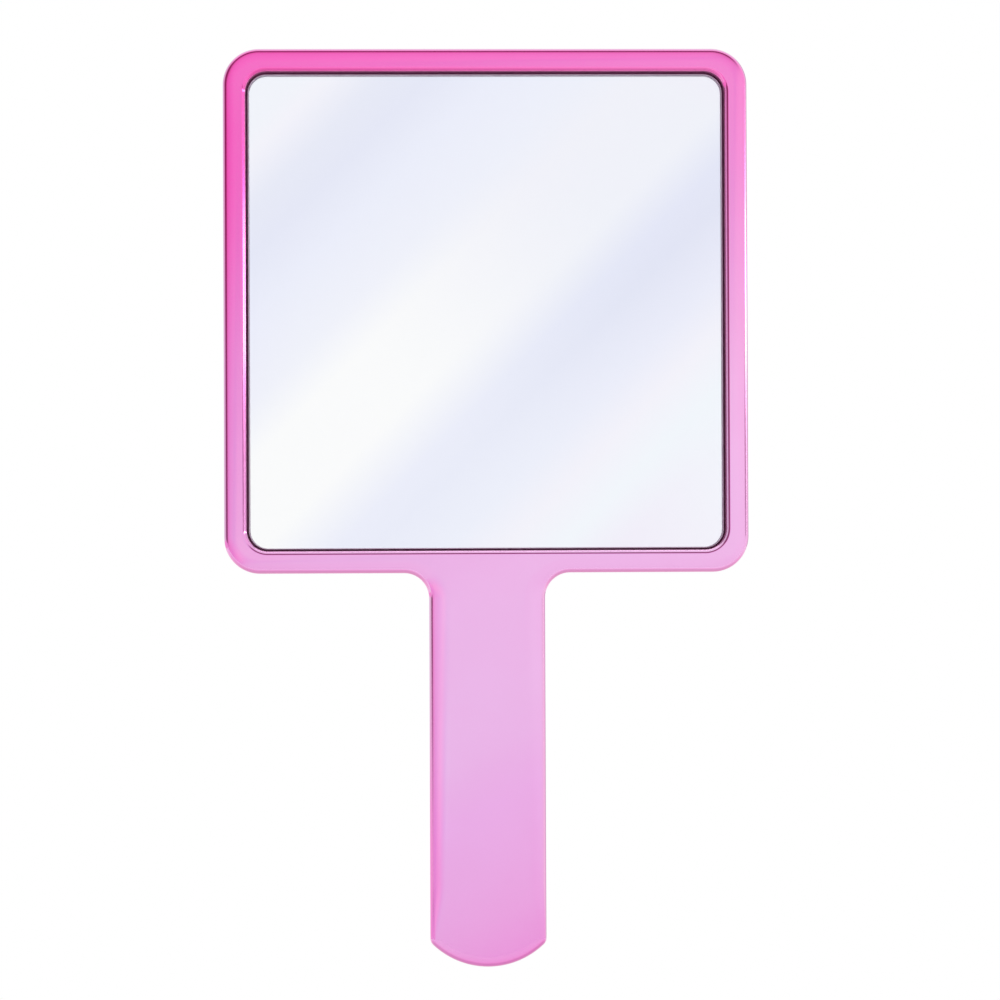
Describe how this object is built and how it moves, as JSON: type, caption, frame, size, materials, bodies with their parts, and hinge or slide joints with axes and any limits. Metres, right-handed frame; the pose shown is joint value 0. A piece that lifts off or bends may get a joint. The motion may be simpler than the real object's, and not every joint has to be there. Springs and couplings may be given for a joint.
{
  "type": "hand mirror",
  "caption": "Square hand mirror with rounded corners, a recessed pane in a glossy pink two-shell frame and a flat paddle handle with an arched end.",
  "frame": {"origin": "middle of the grip: half way along the handle, in the middle of its width and thickness", "axes": "+Z along the handle towards the head, -Y out of the mirror face towards the user, +X to the user's right, facing the mirror"},
  "size_m": [0.14, 0.011, 0.245],
  "materials": {
    "pink_metallised": "moulded ABS with a metallised pink coat, high gloss",
    "clear_glass": "polished float glass with ground arrises",
    "silver": "silvered",
    "grey_paint": "matt protective paint",
    "white_foam": "closed-cell foam, tacky on both faces"
  },
  "bodies": {
    "root": {"front_frame": "pink_metallised", "back_cover": "pink_metallised", "mirror_glass": "clear_glass", "silver_layer": "silver", "backing_paint": "grey_paint", "tape_top": "white_foam", "tape_bottom": "white_foam", "tape_left": "white_foam", "tape_right": "white_foam"}
  },
  "joints": []
}
